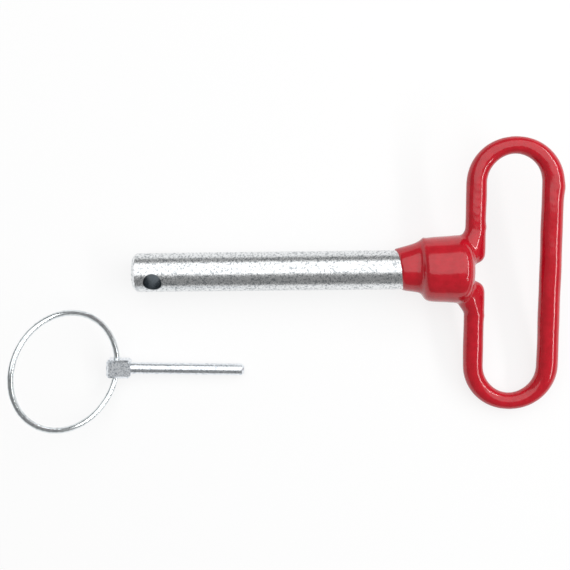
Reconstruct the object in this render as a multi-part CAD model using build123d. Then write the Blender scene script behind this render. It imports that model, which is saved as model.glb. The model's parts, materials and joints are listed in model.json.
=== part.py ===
"""Hitch pin lock: a 5/8 in forged pin with a dipped loop handle, and the lynch pin that locks it.

Both pins lie loose on a flat surface, as they are laid down.  +Z is up and Z = 0 is that surface.
The hitch pin points along X with its handle at +X, and the lynch pin lies beside it at -Y.
The origin is the middle of the whole part's footprint, on the surface.
"""
from build123d import *
import math
import os

# ---- hitch pin forging, along its own axis from the tip ----
PIN_RADIUS = 15.875 / 2
TIP_CHAMFER = 1.4
HEAD_START = 118.2
HEAD_END = 135.1
HEAD_FRONT_RADIUS = 11.9
HEAD_BACK_RADIUS = 12.9
HEAD_EDGE_FILLET = 2.0
NECK_RADIUS = 8.5
CROSS_HOLE_RADIUS = 7.5 / 2
CROSS_HOLE_FROM_TIP = 8.6
CROSS_HOLE_TURN = 23.0

# ---- handle rod, bent to a closed oblong loop and welded to the back of the head ----
ROD_RADIUS = 6.35 / 2
LOOP_RADIUS = 15.1
LOOP_HALF_STRAIGHT = 37.4
LOOP_CENTRE_X = 153.8
LOOP_CENTRE_Y = -3.0
LOOP_LEAN = 0.3
UPPER_ROD_END = 6.2
LOWER_ROD_END = -9.0
WELD_REACH = 1.2
WELD_HALF_WIDTH = 5.4
WELD_DEPTH = 3.2

# ---- vinyl dip coat over the handle, the head and the neck of the pin ----
COAT = 0.95
COAT_EDGE = 108.8
NECK_COAT = 0.6
NECK_ROOT_RADIUS = 10.0
BACK_COAT = 2.0

# ---- lynch pin ----
LYNCH_RADIUS = 4.76 / 2
LYNCH_LENGTH = 46.8
LYNCH_TIP_ROUND = 0.9
LYNCH_HEAD_LENGTH = 9.8
LYNCH_HEAD_WIDTH = 7.5
LYNCH_HEAD_CHAMFER = 0.9
LYNCH_HEADING = -1.5
LYNCH_ROLL = 8.0
LYNCH_AT = (-12.0, -39.1)

# ---- spring wire ring, hinged in the lynch pin's head ----
WIRE_RADIUS = 1.2
RING_RADIUS = 24.0
RING_BEND_RADIUS = 5.0
STUB_OUTER = 4.1
STUB_INNER = 1.0
RING_FIT = 0.06
HINGE_FROM_HEAD_END = 3.6
HINGE_LEAN = 4.5
RING_RAISED = 40.0


def lying_plane(tip_radius, head_radius, span, origin_xy, heading=0.0, roll=0.0):
    """The plane of a pin laid on Z = 0, resting on a thin end and a thick end `span` apart."""
    tilt = math.degrees(math.asin((head_radius - tip_radius) / span))
    height = tip_radius * math.cos(math.radians(tilt))
    spot = Location((origin_xy[0], origin_xy[1], height), (0, -tilt, heading))
    return Plane(spot * Location((0, 0, 0), (roll, 0, 0)))


def hitch_plane():
    """The hitch pin's plane: rolled until the -Y end of its handle touches the surface."""
    head_coated = HEAD_BACK_RADIUS + COAT
    span = HEAD_END - HEAD_EDGE_FILLET - TIP_CHAMFER
    axis_height = head_coated + (LOOP_CENTRE_X - HEAD_END) * (head_coated - PIN_RADIUS) / span
    reach = LOOP_HALF_STRAIGHT + LOOP_RADIUS - LOOP_CENTRE_Y
    roll = math.degrees(math.asin((axis_height - ROD_RADIUS - COAT) / reach))
    return lying_plane(PIN_RADIUS, head_coated, span, (0, 0), roll=roll)


def revolved(profile):
    """A solid turned about the local X axis from (x, radius) points."""
    start, end = profile[0], profile[-1]
    outline = Polyline((start[0], 0), *profile, (end[0], 0), close=True)
    return revolve(make_face(outline), Axis.X)


def pin_forging():
    """Shank, tapered neck, upset head and cross hole, in one piece."""
    shank = revolved([
        (0, PIN_RADIUS - TIP_CHAMFER),
        (TIP_CHAMFER, PIN_RADIUS),
        (COAT_EDGE, PIN_RADIUS),
        (HEAD_START, NECK_RADIUS),
    ])
    head = revolved([(HEAD_START, HEAD_FRONT_RADIUS), (HEAD_END, HEAD_BACK_RADIUS)])
    head = fillet(head.edges().filter_by(GeomType.CIRCLE), HEAD_EDGE_FILLET)
    hole = Cylinder(CROSS_HOLE_RADIUS, 4 * PIN_RADIUS)
    hole = Location((CROSS_HOLE_FROM_TIP, 0, 0), (CROSS_HOLE_TURN, 0, 0)) * hole
    return shank + head - hole


def loop_point(along, across):
    """A point of the leaning loop: `along` its long side from its centre, `across` to the right."""
    lean = math.radians(LOOP_LEAN)
    x = LOOP_CENTRE_X + across * math.cos(lean) + along * math.sin(lean)
    y = LOOP_CENTRE_Y - across * math.sin(lean) + along * math.cos(lean)
    return (x, y)


def loop_path():
    """The rod's centre line, from its upper end round to its lower end."""
    upper = UPPER_ROD_END - LOOP_CENTRE_Y
    lower = LOWER_ROD_END - LOOP_CENTRE_Y
    half, r = LOOP_HALF_STRAIGHT, LOOP_RADIUS
    upper_left = Line(loop_point(upper, -r), loop_point(half, -r))
    top = ThreePointArc(loop_point(half, -r), loop_point(half + r, 0), loop_point(half, r))
    right = Line(loop_point(half, r), loop_point(-half, r))
    bottom = ThreePointArc(loop_point(-half, r), loop_point(-half - r, 0), loop_point(-half, -r))
    lower_left = Line(loop_point(-half, -r), loop_point(lower, -r))
    return Wire([upper_left, top, right, bottom, lower_left])


def swept_rod(path, radius):
    """A round section carried along a path."""
    return sweep(Plane(origin=path @ 0, z_dir=path % 0) * Circle(radius), path=path)


def weld(end_y, side):
    """The weld bead round a rod end, on the back face of the head; `side` is +1 up or -1 down."""
    inner = end_y - side * WELD_REACH
    outer = side * (HEAD_BACK_RADIUS - HEAD_EDGE_FILLET)
    middle = (HEAD_END + WELD_DEPTH / 2, (inner + outer) / 2, 0)
    bead = Location(middle) * Box(WELD_DEPTH, abs(outer - inner), 2 * WELD_HALF_WIDTH)
    return fillet(bead.edges().filter_by(Axis.X), WELD_REACH)


def coat_outside(path):
    """The outer shape of the dip coat: loop, head and neck."""
    head = revolved([
        (COAT_EDGE, PIN_RADIUS + NECK_COAT),
        (HEAD_START - COAT, NECK_ROOT_RADIUS),
        (HEAD_START - COAT, HEAD_FRONT_RADIUS + COAT - HEAD_EDGE_FILLET),
        (HEAD_START + HEAD_EDGE_FILLET, HEAD_FRONT_RADIUS + COAT + 0.1),
        (HEAD_END - HEAD_EDGE_FILLET, HEAD_BACK_RADIUS + COAT),
        (HEAD_END + COAT, HEAD_BACK_RADIUS + COAT - HEAD_EDGE_FILLET),
        (HEAD_END + BACK_COAT, HEAD_BACK_RADIUS / 2),
    ])
    tube = swept_rod(path, ROD_RADIUS + COAT)
    ends = [Location((*spot, 0)) * Sphere(ROD_RADIUS + COAT) for spot in end_points()]
    return head + tube + ends


def end_points():
    """The two ends of the handle rod."""
    upper = loop_point(UPPER_ROD_END - LOOP_CENTRE_Y, -LOOP_RADIUS)
    lower = loop_point(LOWER_ROD_END - LOOP_CENTRE_Y, -LOOP_RADIUS)
    return [upper, lower]


def lynch_plane():
    """The lynch pin's plane: its origin is the outer end of its head, X runs towards its tip."""
    span = LYNCH_LENGTH - LYNCH_TIP_ROUND
    half = LYNCH_HEAD_WIDTH / 2
    roll = math.radians(LYNCH_ROLL)
    head_rest = half * math.cos(roll) + (half - LYNCH_HEAD_CHAMFER) * math.sin(roll)
    tip_down = math.degrees(math.asin((head_rest - LYNCH_RADIUS) / span))
    height = head_rest + LYNCH_HEAD_LENGTH * math.sin(math.radians(tip_down))
    spot = Location((LYNCH_AT[0], LYNCH_AT[1], height), (0, tip_down, LYNCH_HEADING))
    return Plane(spot * Location((0, 0, 0), (LYNCH_ROLL, 0, 0)))


def hinge_location():
    """The ring's hinge in the lynch pin's frame: X points away from the tip, Y along the hinge."""
    lean = Location((HINGE_FROM_HEAD_END, 0, 0), (0, 0, 180 - HINGE_LEAN))
    return lean * Location((0, 0, 0), (0, -RING_RAISED, 0))


def lynch_pin():
    """Headed pin: a bevelled block on a round shank, with the ring's two holes in its sides."""
    from_outer_end = (Align.MIN, Align.CENTER, Align.CENTER)
    head = Box(LYNCH_HEAD_LENGTH, LYNCH_HEAD_WIDTH, LYNCH_HEAD_WIDTH, align=from_outer_end)
    head = chamfer(head.edges(), LYNCH_HEAD_CHAMFER)
    tip = LYNCH_HEAD_LENGTH + LYNCH_LENGTH
    shank = revolved([(1, LYNCH_RADIUS), (tip - LYNCH_TIP_ROUND, LYNCH_RADIUS), (tip, LYNCH_RADIUS - LYNCH_TIP_ROUND)])
    body = head + shank
    for side in (-1, 1):
        depth = LYNCH_HEAD_WIDTH
        middle = side * (STUB_INNER - RING_FIT + depth / 2)
        hole = Location((0, middle, 0), (90, 0, 0)) * Cylinder(WIRE_RADIUS + RING_FIT, depth)
        body -= hinge_location() * hole
    return body


def lynch_ring():
    """The spring ring: a round of wire whose ends turn in along the hinge line."""
    turn = math.degrees(math.asin(STUB_OUTER / (RING_RADIUS - RING_BEND_RADIUS)))
    stub_in = Line((0, -STUB_INNER), (0, -STUB_OUTER))
    first = JernArc(stub_in @ 1, stub_in % 1, RING_BEND_RADIUS, turn)
    round_part = JernArc(first @ 1, first % 1, RING_RADIUS, 360 - 2 * turn)
    last = JernArc(round_part @ 1, round_part % 1, RING_BEND_RADIUS, turn)
    stub_out = Line(last @ 1, (0, STUB_INNER))
    path = Wire([stub_in, first, round_part, last, stub_out])
    return hinge_location() * swept_rod(path, WIRE_RADIUS)


def build():
    """Every node, placed in the part's frame."""
    hitch = hitch_plane().location
    lynch = lynch_plane().location
    path = loop_path()
    forging = pin_forging()
    rod = swept_rod(path, ROD_RADIUS)
    upper_weld = weld(UPPER_ROD_END, 1) - rod - forging
    lower_weld = weld(LOWER_ROD_END, -1) - rod - forging
    coating = coat_outside(path) - [forging, rod, upper_weld, lower_weld]
    nodes = {
        "pin_forging": hitch * forging,
        "handle_rod": hitch * rod,
        "upper_weld": hitch * upper_weld,
        "lower_weld": hitch * lower_weld,
        "vinyl_coating": hitch * coating,
        "lynch_pin": lynch * lynch_pin(),
        "lynch_ring": lynch * lynch_ring(),
    }
    box = Compound(children=[Compound(shape.solids()) for shape in nodes.values()]).bounding_box()
    to_origin = Location((-box.center().X, -box.center().Y, 0))
    return {name: to_origin * shape for name, shape in nodes.items()}, to_origin


def main():
    """Write one STEP file per node."""
    os.makedirs("parts", exist_ok=True)
    nodes, _ = build()
    for name, shape in nodes.items():
        export_step(shape, f"parts/{name}.step")
        print(name, len(shape.solids()), round(shape.volume, 1), shape.bounding_box())


main()
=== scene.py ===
"""Looks of a hitch pin lock: a zinc-plated hitch pin with a red dip-coated loop handle, and its lynch pin.

The CAD frame holds every steel piece.  This file adds the dip coat as it really sets, thinner round the
bends and webbed at the head, and dresses every piece in the finish of its real material.
"""
import json
import logging
import math
from dataclasses import dataclass
from enum import Enum

import bpy
import numpy as np
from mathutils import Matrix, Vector

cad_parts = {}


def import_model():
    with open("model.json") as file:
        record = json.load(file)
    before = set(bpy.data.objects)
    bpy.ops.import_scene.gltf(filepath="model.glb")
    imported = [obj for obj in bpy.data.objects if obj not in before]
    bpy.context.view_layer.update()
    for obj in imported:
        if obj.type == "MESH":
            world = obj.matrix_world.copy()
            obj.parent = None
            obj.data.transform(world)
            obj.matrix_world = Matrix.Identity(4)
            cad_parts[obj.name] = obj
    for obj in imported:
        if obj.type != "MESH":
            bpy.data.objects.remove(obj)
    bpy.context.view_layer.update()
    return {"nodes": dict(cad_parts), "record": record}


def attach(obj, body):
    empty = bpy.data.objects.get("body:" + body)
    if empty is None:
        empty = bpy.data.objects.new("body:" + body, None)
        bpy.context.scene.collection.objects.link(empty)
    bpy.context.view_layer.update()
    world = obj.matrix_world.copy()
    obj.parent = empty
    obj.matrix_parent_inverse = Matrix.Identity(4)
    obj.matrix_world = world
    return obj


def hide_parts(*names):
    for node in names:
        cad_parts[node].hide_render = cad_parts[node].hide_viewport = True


LOG = logging.getLogger("hitch_pin_lock")
MM = 0.001
DOME_ANGLES = (80, 60, 40, 20)  # degrees up a domed end at which its rings stand, from the top down


class Body(Enum):
    """The moving bodies of the part."""
    HITCH_PIN = "hitch_pin"
    LYNCH_PIN = "lynch_pin"
    RING = "ring"


def linear(hex_colour: str) -> tuple:
    """Turn an sRGB hex colour into linear RGBA.

    Args:
        hex_colour: such as "#B4121F".
    Returns:
        Linear red, green, blue and an alpha of 1.
    """
    parts = [int(hex_colour[i:i + 2], 16) / 255 for i in (1, 3, 5)]
    # The sRGB curve: a straight foot, then a power of 2.4.
    return tuple(c / 12.92 if c <= 0.04045 else ((c + 0.055) / 1.055) ** 2.4 for c in parts) + (1.0,)


def add(tree: bpy.types.NodeTree, kind: str, settings: dict = None,
        **links: bpy.types.NodeSocket) -> bpy.types.Node:
    """Add a shader node with its settings and its inputs.

    Args:
        tree: the node tree.
        kind: the node's type name.
        settings: attributes, or input values where the node has an input of that name.
        links: input name, with spaces as underscores, to the socket that feeds it.
    Returns:
        The new node.
    """
    node = tree.nodes.new(kind)
    for name, value in (settings or {}).items():
        if name in node.inputs:
            node.inputs[name].default_value = value
        else:
            setattr(node, name, value)
    for name, socket in links.items():
        tree.links.new(socket, node.inputs[name.replace("_", " ")])
    return node


def new_material(name: str) -> tuple:
    """An empty material, its tree and its Principled shader, which is linked to the output."""
    material = bpy.data.materials.new(name)
    material.use_nodes = True
    tree = material.node_tree
    tree.nodes.clear()
    shader = add(tree, "ShaderNodeBsdfPrincipled")
    add(tree, "ShaderNodeOutputMaterial", Surface=shader.outputs["BSDF"])
    return material, tree, shader


def ramp(tree: bpy.types.NodeTree, factor: bpy.types.NodeSocket, stops: list) -> bpy.types.NodeSocket:
    """A colour ramp from (position, linear colour) stops."""
    node = add(tree, "ShaderNodeValToRGB", Fac=factor)
    elements = node.color_ramp.elements
    while len(elements) < len(stops):
        elements.new(0.5)
    for element, (position, colour) in zip(elements, stops):
        element.position = position
        element.color = colour
    return node.outputs["Color"]


def spread(tree: bpy.types.NodeTree, value: bpy.types.NodeSocket, band: tuple,
           results: tuple) -> bpy.types.NodeSocket:
    """Carry a band of values on to a band of results, held at its ends."""
    settings = {"From Min": band[0], "From Max": band[1], "To Min": results[0], "To Max": results[1]}
    return add(tree, "ShaderNodeMapRange", settings, Value=value).outputs["Result"]


@dataclass(frozen=True)
class ZincPlate:
    """Bright zinc plating on steel: a cool grey metal, with a spangle of crystals and fine grit.

    Real plating is grained far finer: both patterns are drawn as coarse as they need to be to show.
    """
    name: str = "zinc_plated_steel"
    light: str = "#EEF0F1"
    dark: str = "#9DA2A6"
    roughness: tuple = (0.12, 0.4)
    crystal_mm: float = 0.9
    grit_mm: float = 0.35
    relief_mm: float = 0.04
    # Painted shade: the darker grey painted on a bore's wall, where shade falls inside the hole.
    bore_shade: str = "#5E666C"
    crystal_band: tuple = (0.4, 0.5)
    grit_band: tuple = (0.3, 0.7)

    def material(self, bore: tuple = None) -> bpy.types.Material:
        """Build the plating: crystals vary its grey and gloss, grit breaks its reflections up, and a bore's
        wall is painted a darker grey as painted shade.

        Args:
            bore: a point, an axis and a radius, in metres, of a hole whose wall gets a darker grey, a
                painted shade.
        Returns:
            The material.
        """
        material, tree, shader = new_material(self.name)
        place = add(tree, "ShaderNodeTexCoord").outputs["Object"]
        crystals = add(tree, "ShaderNodeTexNoise",
                       {"Scale": 1 / (self.crystal_mm * MM), "Detail": 6.0, "Roughness": 0.7}, Vector=place)
        grit = add(tree, "ShaderNodeTexNoise",
                   {"Scale": 1 / (self.grit_mm * MM), "Detail": 3.0, "Roughness": 0.6}, Vector=place)
        greys = linear(self.dark), linear(self.light)
        colour = ramp(tree, crystals.outputs["Fac"], list(zip(self.crystal_band, greys)))
        tree.links.new(colour, shader.inputs["Base Color"])
        gloss = spread(tree, grit.outputs["Fac"], self.grit_band, self.roughness)
        tree.links.new(gloss, shader.inputs["Roughness"])
        bump = add(tree, "ShaderNodeBump", {"Strength": 1.0, "Distance": self.relief_mm * MM},
                   Height=grit.outputs["Fac"])
        tree.links.new(bump.outputs["Normal"], shader.inputs["Normal"])
        shader.inputs["Metallic"].default_value = 1.0
        # Painted shade: inside the bore the crystals' grey gives way to the darker grey below.
        if bore:
            inside = self.inside(tree, place, *bore)
            shade = add(tree, "ShaderNodeMix", {"data_type": "RGBA"})
            tree.links.new(inside, shade.inputs["Factor"])
            tree.links.new(colour, shade.inputs[6])
            shade.inputs[7].default_value = linear(self.bore_shade)
            tree.links.new(shade.outputs[2], shader.inputs["Base Color"])
        return material

    @staticmethod
    def inside(tree: bpy.types.NodeTree, place: bpy.types.NodeSocket, point: tuple, axis: tuple,
               radius: float) -> bpy.types.NodeSocket:
        """1 where a point is no further than the radius from the bore's axis: |(p - point) x axis|."""
        offset = add(tree, "ShaderNodeVectorMath", {"operation": "SUBTRACT"})
        tree.links.new(place, offset.inputs[0])
        offset.inputs[1].default_value = point
        across = add(tree, "ShaderNodeVectorMath", {"operation": "CROSS_PRODUCT"})
        tree.links.new(offset.outputs[0], across.inputs[0])
        across.inputs[1].default_value = axis
        far = add(tree, "ShaderNodeVectorMath", {"operation": "LENGTH"})
        tree.links.new(across.outputs[0], far.inputs[0])
        within = add(tree, "ShaderNodeMath", {"operation": "LESS_THAN"})
        tree.links.new(far.outputs["Value"], within.inputs[0])
        within.inputs[1].default_value = radius
        return within.outputs[0]


@dataclass(frozen=True)
class DipCoat:
    """PVC plastisol dip coat: glossy, thick-skinned red vinyl with a faint orange peel and dust specks."""
    name: str = "pvc_dip_coat"
    red: str = "#BE1023"
    deep: str = "#B20C1E"
    peel_mm: float = 2.6
    dust_mm: float = 0.5
    peel_band: tuple = (0.35, 0.65)
    dust_band: tuple = (0.35, 0.75)
    roughness: tuple = (0.11, 0.22)
    relief_mm: float = 0.06
    relief_strength: float = 0.35
    ior: float = 1.54
    clear_weight: float = 0.1
    clear_roughness: float = 0.08

    def material(self) -> bpy.types.Material:
        """Build the vinyl: slow peel in its relief, and a slightly duller gloss in patches."""
        material, tree, shader = new_material(self.name)
        place = add(tree, "ShaderNodeTexCoord").outputs["Object"]
        peel = add(tree, "ShaderNodeTexNoise", {"Scale": 1 / (self.peel_mm * MM), "Detail": 2.0},
                   Vector=place).outputs["Fac"]
        dust = add(tree, "ShaderNodeTexNoise", {"Scale": 1 / (self.dust_mm * MM), "Detail": 4.0},
                   Vector=place).outputs["Fac"]
        colour = ramp(tree, peel, list(zip(self.peel_band, (linear(self.deep), linear(self.red)))))
        tree.links.new(colour, shader.inputs["Base Color"])
        gloss = spread(tree, dust, self.dust_band, self.roughness)
        tree.links.new(gloss, shader.inputs["Roughness"])
        bump = add(tree, "ShaderNodeBump",
                   {"Strength": self.relief_strength, "Distance": self.relief_mm * MM}, Height=peel)
        tree.links.new(bump.outputs["Normal"], shader.inputs["Normal"])
        shader.inputs["IOR"].default_value = self.ior
        shader.inputs["Coat Weight"].default_value = self.clear_weight
        shader.inputs["Coat Roughness"].default_value = self.clear_roughness
        return material


@dataclass(frozen=True)
class DrawnSteel:
    """Plain drawn steel and weld metal, dull grey, under the coat."""
    name: str = "drawn_steel"
    grey: str = "#6B6B6D"
    scale_mm: float = 1.5
    roughness: tuple = (0.35, 0.6)

    def material(self) -> bpy.types.Material:
        """Build the steel with a patchy gloss."""
        material, tree, shader = new_material(self.name)
        place = add(tree, "ShaderNodeTexCoord").outputs["Object"]
        scale = add(tree, "ShaderNodeTexNoise", {"Scale": 1 / (self.scale_mm * MM), "Detail": 4.0},
                    Vector=place)
        gloss = spread(tree, scale.outputs["Fac"], (0.0, 1.0), self.roughness)
        tree.links.new(gloss, shader.inputs["Roughness"])
        shader.inputs["Base Color"].default_value = linear(self.grey)
        shader.inputs["Metallic"].default_value = 1.0
        return material


def dress(piece: bpy.types.Object, material: bpy.types.Material) -> None:
    """Give a piece one finish, and report it."""
    piece.data.materials.clear()
    piece.data.materials.append(material)
    LOG.info("%s: %s", piece.name, material.name)


def grid_mesh(points: np.ndarray) -> tuple:
    """Vertices and faces of a closed tube-like surface.

    Rings of points are joined to the next by quads, and each end ring is closed by one polygon.

    Args:
        points: rings x round x 3.
    Returns:
        Vertices, and faces as lists of indices.
    """
    rings, around = points.shape[:2]
    i, j = np.meshgrid(np.arange(rings - 1), np.arange(around), indexing="ij")
    here = i * around + j
    beside = i * around + (j + 1) % around
    faces = np.stack([here, beside, beside + around, here + around], -1).reshape(-1, 4).tolist()
    first = list(range(around - 1, -1, -1))
    last = list(range((rings - 1) * around, rings * around))
    return points.reshape(-1, 3), faces + [first, last]


def joined(name: str, shapes: list) -> bpy.types.Object:
    """One mesh object from several closed shapes."""
    vertices, faces, start = [], [], 0
    for points, polygons in shapes:
        vertices.extend(points.tolist())
        faces.extend([[index + start for index in polygon] for polygon in polygons])
        start += len(points)
    mesh = bpy.data.meshes.new(name)
    mesh.from_pydata(vertices, [], faces)
    piece = bpy.data.objects.new(name, mesh)
    bpy.context.scene.collection.objects.link(piece)
    return piece


@dataclass
class PinAxes:
    """The hitch pin's own frame: X along it from its tip, Y and Z in and out of the loop's plane.

    Attributes:
        hole_from_tip: millimetres from the tip to the cross hole.
        hole_turn: degrees that the cross hole is turned from square to the loop.
    """
    hole_from_tip: float = 8.6
    hole_turn: float = 23.0

    def load(self, record: dict) -> None:
        """Read the frame from the record's mounts."""
        mounts = {mount["name"]: mount for mount in record["mounts"]}
        self.x = -Vector(mounts["hitch_shank"]["axis"]).normalized()
        hole = Vector(mounts["cross_hole"]["axis"]).normalized()
        turn = math.radians(self.hole_turn)
        self.z = (math.cos(turn) * hole - math.sin(turn) * self.x.cross(hole)).normalized()
        self.y = self.z.cross(self.x)
        self.hole = tuple(mounts["cross_hole"]["pos_m"])
        self.hole_axis = tuple(hole)
        self.hole_radius = mounts["cross_hole"]["dims"]["r_mm"] * MM
        self.tip = Vector(self.hole) - self.hole_from_tip * MM * self.x

    def place(self, local: np.ndarray) -> np.ndarray:
        """Turn points in the pin's frame, in millimetres, into the part's frame, in metres."""
        axes = np.array([self.x, self.y, self.z])
        return np.array(self.tip) + local @ axes * MM


@dataclass
class HitchPin:
    """The hitch pin: plated forging, and a dip coat over its head and handle.  Sizes in millimetres.

    Attributes:
        loop_radius, half_straight, centre, lean: the loop's bends, half its straight side, its middle and
            its lean in degrees.
        upper_end, lower_end: where the rod's ends stand across the pin.
        left_radius, right_radius, bend_radius: the coat's radius on the loop's sides and at its bends.
        around, step: points round the tube, and the distance between its rings.
        wave_heights, wave_scales: the slow waves in the coat, and the travel in which each turns a radian.
        drip_height, drip_width, drip_past_bend: the drip, and how far past the top bend it hangs.
        head_profile: (distance from the tip, radius) pairs of the coat on the neck and the head.
        edge_fade: where the edge's waves end, and the distance over which they fade.
        edge_waves, edge_tongue: the front edge's waves, and how far it reaches forward on the +Y side.
        web_height, web_start, web_growth, web_end: the web's height, the place and run of its rise, the
            power that it rises with, and the place and run of its end.
        swell: the height of the head's slow swell, and the distance in which it turns a radian.
        full_radius: the radius from which web and swell have their whole height.
        fillet_rings, fillet_span: rings of a fillet, and the points of the line that it covers.
        fillet_sink, fillet_radius, fillet_taper: how far it starts inside the head, its radius there, and
            how much of it is lost by its end.
        skin_voxel, flow_factor, flow_rounds: the grain of the melted skin, and how it is let flow smooth.
        bore_margin: how far past the cross hole's wall its painted shade reaches.
    """
    axes: PinAxes
    loop_radius: float = 15.1
    half_straight: float = 37.4
    centre: tuple = (153.8, -3.0)
    lean: float = 0.3
    upper_end: float = 6.2
    lower_end: float = -9.0
    left_radius: float = 4.15
    right_radius: float = 4.4
    bend_radius: float = 3.55
    around: int = 48
    step: float = 0.8
    wave_heights: tuple = (0.05, 0.04)
    wave_scales: tuple = (5.3, 2.9)
    drip_height: float = 0.4
    drip_width: float = 2.4
    drip_past_bend: float = 1.5
    head_profile: tuple = ((109.0, 8.0), (109.1, 8.45), (111.0, 8.75), (115.0, 9.2), (117.0, 9.6),
                           (117.9, 11.4), (119.2, 12.7), (122.0, 13.15), (127.0, 13.5), (131.8, 13.85),
                           (134.6, 13.4), (136.4, 11.9), (137.7, 8.9), (138.5, 4.5), (138.7, 0.5))
    edge_fade: tuple = (114.5, 5.4)
    edge_waves: tuple = (0.35, 0.2)
    edge_tongue: float = 2.6
    web_height: float = 2.3
    web_start: tuple = (107.5, 9)
    web_growth: float = 1.4
    web_end: tuple = (119.0, 1.5)
    swell: tuple = (0.08, 3)
    full_radius: float = 8
    fillet_rings: int = 12
    fillet_span: int = 12
    fillet_sink: float = 3.6
    fillet_radius: float = 6.6
    fillet_taper: float = 2.4
    skin_voxel: float = 0.55
    flow_factor: float = 0.5
    flow_rounds: int = 14
    bore_margin: float = 0.05

    def loop(self) -> tuple:
        """The loop's centre line, its outward direction and its coat's radius.

        The line is a stadium walked from the rod's upper end, over the top, down the right side, round
        the bottom and up to the lower end: each point is the loop's radius outwards from a point of its
        middle line.  The coat drained off the bends: its radius goes from the bend's to the side's with
        the square of the outward direction's sideways part, 0 at a bend's middle and 1 along a side.

        Returns:
            Points n x 2, outward directions n x 2, and radii n.
        """
        half, r = self.half_straight, self.loop_radius
        upper = np.arange(self.upper_end - self.centre[1], half, self.step)
        side = np.arange(half, -half, -self.step)
        lower = np.arange(-half, self.lower_end - self.centre[1], self.step)
        turn = np.linspace(math.pi, 0, int(math.pi * r / self.step))
        stretches = [(upper, -1 + 0 * upper, 0 * upper),
                     (half + 0 * turn, np.cos(turn), np.sin(turn)),
                     (side, 1 + 0 * side, 0 * side),
                     (-half + 0 * turn, np.cos(turn[::-1]), -np.sin(turn)),
                     (lower, -1 + 0 * lower, 0 * lower)]
        middle, out_x, out_y = (np.concatenate(column) for column in zip(*stretches))
        side_radius = self.left_radius + (self.right_radius - self.left_radius) * (out_x + 1) / 2
        radius = self.bend_radius + (side_radius - self.bend_radius) * out_x ** 2
        lean = math.radians(self.lean)
        turned = np.array([[math.cos(lean), -math.sin(lean)], [math.sin(lean), math.cos(lean)]])
        line = np.array(self.centre) + np.stack([r * out_x, middle + r * out_y], -1) @ turned
        return line, np.stack([out_x, out_y], -1) @ turned, radius

    def coat_tube(self) -> tuple:
        """The coat round the rod: a ring at each point of the line, with a drip and slow waves in it.

        The waves are two sines of the travel and the angle, which wind round the rod opposite ways.  The
        drip is a bell of the travel, times the cosine of the angle from the loop's outer side.
        """
        line, out, radius = self.loop()
        travel = np.arange(len(line))[:, None] * self.step
        angle = np.linspace(0, 2 * math.pi, self.around, endpoint=False)[None, :]
        waves = self.wave_heights[0] * np.sin(travel / self.wave_scales[0] + angle)
        waves = waves + self.wave_heights[1] * np.sin(travel / self.wave_scales[1] - 2 * angle)
        drip_at = len(np.arange(self.upper_end - self.centre[1], self.half_straight, self.step)) * self.step
        drip_at += math.pi * self.loop_radius + self.drip_past_bend
        bell = np.exp(-((travel - drip_at) / self.drip_width) ** 2)
        drip = self.drip_height * bell * np.maximum(np.cos(angle), 0)
        r = radius[:, None] + waves + drip
        points = np.zeros((len(line), self.around, 3))
        points[..., :2] = line[:, None, :] + (r * np.cos(angle))[..., None] * out[:, None, :]
        points[..., 2] = -r * np.sin(angle)
        return self.rounded(points)

    @staticmethod
    def rounded(points: np.ndarray) -> tuple:
        """Close a tube with two domed ends, each a few shrinking copies of its last ring."""
        ends = []
        for ring, beside in ((points[0], points[1]), (points[-1], points[-2])):
            centre = ring.mean(0)
            reach = np.linalg.norm(ring - centre, axis=1).mean()
            out = (centre - beside.mean(0)) / np.linalg.norm(centre - beside.mean(0))
            angle = np.radians(DOME_ANGLES)[:, None, None]
            ends.append(centre + (ring - centre) * np.cos(angle) + out * reach * np.sin(angle))
        return grid_mesh(np.concatenate([ends[0], points, ends[1][::-1]]))

    def coat_head(self) -> tuple:
        """The coat on the neck and the head: a turned profile, with a wavy edge and a web on its +Y side.

        The profile's pairs are joined by straight lines, which the melting and flowing then round.  The
        front edge moves along the pin by two sines of the angle, less a tongue.  Tongue and web both go
        with the cube of the cosine of the angle from +Y, and the web grows towards the head.
        """
        stops = np.array(self.head_profile)
        knots = np.arange(len(stops))
        fine = np.linspace(0, len(stops) - 1, 8 * len(stops))
        x = np.interp(fine, knots, stops[:, 0])[:, None]
        r = np.interp(fine, knots, stops[:, 1])[:, None]
        angle = np.linspace(0, 2 * math.pi, 2 * self.around, endpoint=False)[None, :]
        near_edge = np.clip((self.edge_fade[0] - x) / self.edge_fade[1], 0, 1)
        top = np.maximum(np.cos(angle), 0) ** 3
        edge = self.edge_waves[0] * np.sin(3 * angle + 0.6) + self.edge_waves[1] * np.sin(5 * angle)
        edge = edge - self.edge_tongue * top
        rise = np.clip((x - self.web_start[0]) / self.web_start[1], 0, 1) ** self.web_growth
        web = self.web_height * top * rise * np.clip((self.web_end[0] - x) / self.web_end[1], 0, 1)
        lift = self.swell[0] * np.sin(2 * angle + x / self.swell[1]) + web
        r = r + lift * np.clip(r / self.full_radius, 0, 1)
        points = np.stack([x + near_edge * edge, r * np.cos(angle), r * np.sin(angle)], -1)
        return grid_mesh(points[:, ::-1])

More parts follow.
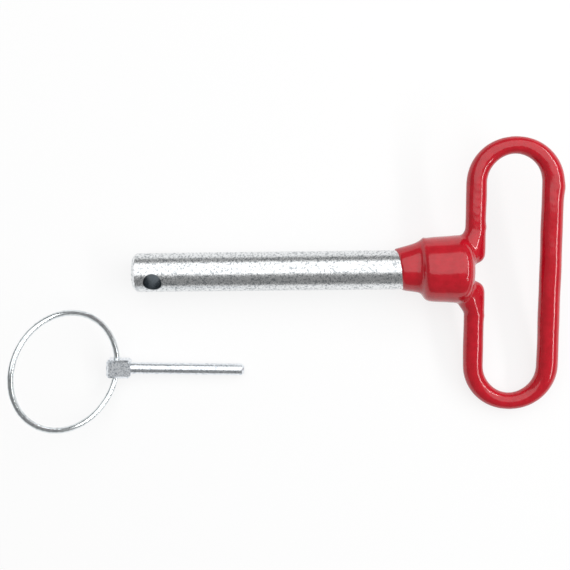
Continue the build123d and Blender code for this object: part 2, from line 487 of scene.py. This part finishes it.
    def fillets(self) -> list:
        """The vinyl that gathered where each rod end runs on to the head.

        Each is a short straight run of rings, which starts sunk in the head and thins along the rod.
        """
        shapes = []
        line, _, _ = self.loop()
        span = self.fillet_span
        for start, towards in ((line[0], line[span]), (line[-1], line[-span])):
            t = np.linspace(0, 1, self.fillet_rings)[:, None, None]
            centre = np.zeros((self.fillet_rings, 1, 3))
            centre[..., :2] = start + (towards - start) * t
            centre[..., 0] -= self.fillet_sink * (1 - t[..., 0])
            angle = np.linspace(0, 2 * math.pi, self.around, endpoint=False)[None, :, None]
            radius = self.fillet_radius - self.fillet_taper * t
            heading = np.append(towards - start, 0) / np.linalg.norm(towards - start)
            side = np.array([-heading[1], heading[0], 0])
            ring = np.cos(angle) * side + np.sin(angle) * np.array([0, 0, 1.0])
            shapes.append(self.rounded(centre + radius * ring))
        return shapes

    def build(self) -> bpy.types.Object:
        """Melt tube, head and fillets into one skin, and let it flow smooth."""
        shapes = [self.coat_tube(), self.coat_head(), *self.fillets()]
        placed = [(self.axes.place(points), faces) for points, faces in shapes]
        coat = joined("dip_coat", placed)
        skin = coat.modifiers.new("one_skin", "REMESH")
        skin.mode = "VOXEL"
        skin.voxel_size = self.skin_voxel * MM
        skin.use_smooth_shade = True
        flow = coat.modifiers.new("flow", "SMOOTH")
        flow.factor = self.flow_factor
        flow.iterations = self.flow_rounds
        done = bpy.data.meshes.new_from_object(coat.evaluated_get(bpy.context.evaluated_depsgraph_get()))
        coat.modifiers.clear()
        coat.data = done
        done.name = "dip_coat"
        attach(coat, Body.HITCH_PIN.value)
        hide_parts("vinyl_coating")
        return coat

    def dress(self, nodes: dict, coat: bpy.types.Object) -> None:
        """Plate the forging, with painted shade in its cross hole, leave the rod and welds plain, and
        colour the coat.
        """
        # The cross hole's wall, and a hair past it, gets the plating's painted shade.
        wall = self.axes.hole_radius + self.bore_margin * MM
        dress(nodes["pin_forging"], ZincPlate().material((self.axes.hole, self.axes.hole_axis, wall)))
        steel = DrawnSteel().material()
        for name in ("handle_rod", "upper_weld", "lower_weld"):
            dress(nodes[name], steel)
        dress(coat, DipCoat().material())


@dataclass
class LynchPin:
    """The lynch pin and its ring, which need only their finishes."""
    pin: ZincPlate = ZincPlate("zinc_plated_forging", "#F2F6FA", "#BCC3CB", (0.16, 0.36), 0.9, 0.4, 0.02)
    wire: ZincPlate = ZincPlate("zinc_plated_wire", "#E6EBED", "#C2C8CB", (0.12, 0.24), 1.2, 0.5, 0.006)

    def dress(self, nodes: dict) -> None:
        """Plate both pieces."""
        dress(nodes["lynch_pin"], self.pin.material())
        dress(nodes["lynch_ring"], self.wire.material())


@dataclass(frozen=True)
class Lamp:
    """A rectangular lamp aimed at the part's middle.  Angles in degrees, lengths in metres."""
    name: str
    elevation: float
    azimuth: float
    size: tuple
    radiance: float
    away: float

    def build(self) -> None:
        """Hang the lamp; its power follows from its radiance and area."""
        data = bpy.data.lights.new(self.name, "AREA")
        data.shape = "RECTANGLE"
        data.size, data.size_y = self.size
        data.energy = self.radiance * math.pi * self.size[0] * self.size[1]
        lamp = bpy.data.objects.new(self.name, data)
        up, round_z = math.radians(self.elevation), math.radians(self.azimuth)
        towards = Vector((math.cos(up) * math.cos(round_z), math.cos(up) * math.sin(round_z), math.sin(up)))
        lamp.location = self.away * towards
        lamp.rotation_euler = (-lamp.location).to_track_quat("-Z", "Y").to_euler()
        bpy.context.scene.collection.objects.link(lamp)


@dataclass
class Studio:
    """A white floor, two lamps, a soft surround and a camera looking straight down.

    A large soft lamp stands high on the +Y side, and a narrow one lower, beyond the handle.  Lengths in
    metres, but for the way from the tip to the camera's centre, in millimetres.
    """
    distance: float = 0.425
    width_seen: float = 0.2337
    sensor_mm: float = 36.0
    roll: float = -0.6
    tip_to_centre: tuple = (61.85, -5.7)
    lamps: tuple = (Lamp("soft_box", 70, 90, (1.6, 1.16), 1.3, 0.8),
                    Lamp("strip_box", 38, 0, (1.2, 0.08), 14.0, 0.9))
    sky: float = 0.26
    floor_reach: float = 1.5
    floor_glow: float = 0.8

    def floor(self) -> None:
        """A pale floor that shows white to the camera and in the metal, and keeps part of the shadow."""
        size = self.floor_reach
        mesh = bpy.data.meshes.new("floor")
        corners = [(-size, -size, 0), (size, -size, 0), (size, size, 0), (-size, size, 0)]
        mesh.from_pydata(corners, [], [(0, 1, 2, 3)])
        floor = bpy.data.objects.new("floor", mesh)
        bpy.context.scene.collection.objects.link(floor)
        material, tree, shader = new_material("white_paper")
        shader.inputs["Base Color"].default_value = linear("#F2F2F2")
        shader.inputs["Roughness"].default_value = 0.9
        shader.inputs["Specular IOR Level"].default_value = 0.0
        path = add(tree, "ShaderNodeLightPath")
        seen = add(tree, "ShaderNodeMath", {"operation": "MAXIMUM"})
        tree.links.new(path.outputs["Is Camera Ray"], seen.inputs[0])
        tree.links.new(path.outputs["Is Glossy Ray"], seen.inputs[1])
        part = add(tree, "ShaderNodeMath", {"operation": "MULTIPLY"})
        part.inputs[1].default_value = self.floor_glow
        tree.links.new(seen.outputs[0], part.inputs[0])
        glow = add(tree, "ShaderNodeEmission", {"Color": (1, 1, 1, 1), "Strength": 1.0})
        mix = add(tree, "ShaderNodeMixShader", Fac=part.outputs[0])
        tree.links.new(shader.outputs[0], mix.inputs[1])
        tree.links.new(glow.outputs[0], mix.inputs[2])
        output = next(node for node in tree.nodes if node.type == "OUTPUT_MATERIAL")
        tree.links.new(mix.outputs[0], output.inputs["Surface"])
        dress(floor, material)

    def world(self) -> None:
        """A soft grey surround that the camera sees as white."""
        world = bpy.data.worlds.new("surround")
        world.use_nodes = True
        tree = world.node_tree
        tree.nodes.clear()
        path = add(tree, "ShaderNodeLightPath")
        strength = spread(tree, path.outputs["Is Camera Ray"], (0.0, 1.0), (self.sky, 1.0))
        background = add(tree, "ShaderNodeBackground", {"Color": (1, 1, 1, 1)}, Strength=strength)
        add(tree, "ShaderNodeOutputWorld", Surface=background.outputs[0])
        bpy.context.scene.world = world

    def camera(self, tip: Vector) -> None:
        """A long lens above the part, looking straight down, a touch turned."""
        data = bpy.data.cameras.new("camera")
        data.sensor_width = self.sensor_mm
        data.lens = data.sensor_width * self.distance / self.width_seen
        camera = bpy.data.objects.new("camera", data)
        camera.location = (tip.x + self.tip_to_centre[0] * MM, tip.y + self.tip_to_centre[1] * MM,
                           tip.z + self.distance)
        camera.rotation_euler = (0, 0, math.radians(self.roll))
        bpy.context.scene.collection.objects.link(camera)
        bpy.context.scene.camera = camera

    def build(self, tip: Vector) -> None:
        """Set the studio up round the part."""
        self.floor()
        for lamp in self.lamps:
            lamp.build()
        self.world()
        self.camera(tip)
        bpy.context.scene.view_settings.view_transform = "Standard"


def main() -> None:
    """Build the part's looks in order, and report each piece."""
    logging.basicConfig(level=logging.INFO, format="%(message)s")
    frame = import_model()
    axes = PinAxes()
    axes.load(frame["record"])
    hitch = HitchPin(axes)
    coat = hitch.build()
    LOG.info("dip_coat: %d faces", len(coat.data.polygons))
    hitch.dress(frame["nodes"], coat)
    LynchPin().dress(frame["nodes"])
    Studio().build(axes.tip)


if __name__ == "__main__":
    main()
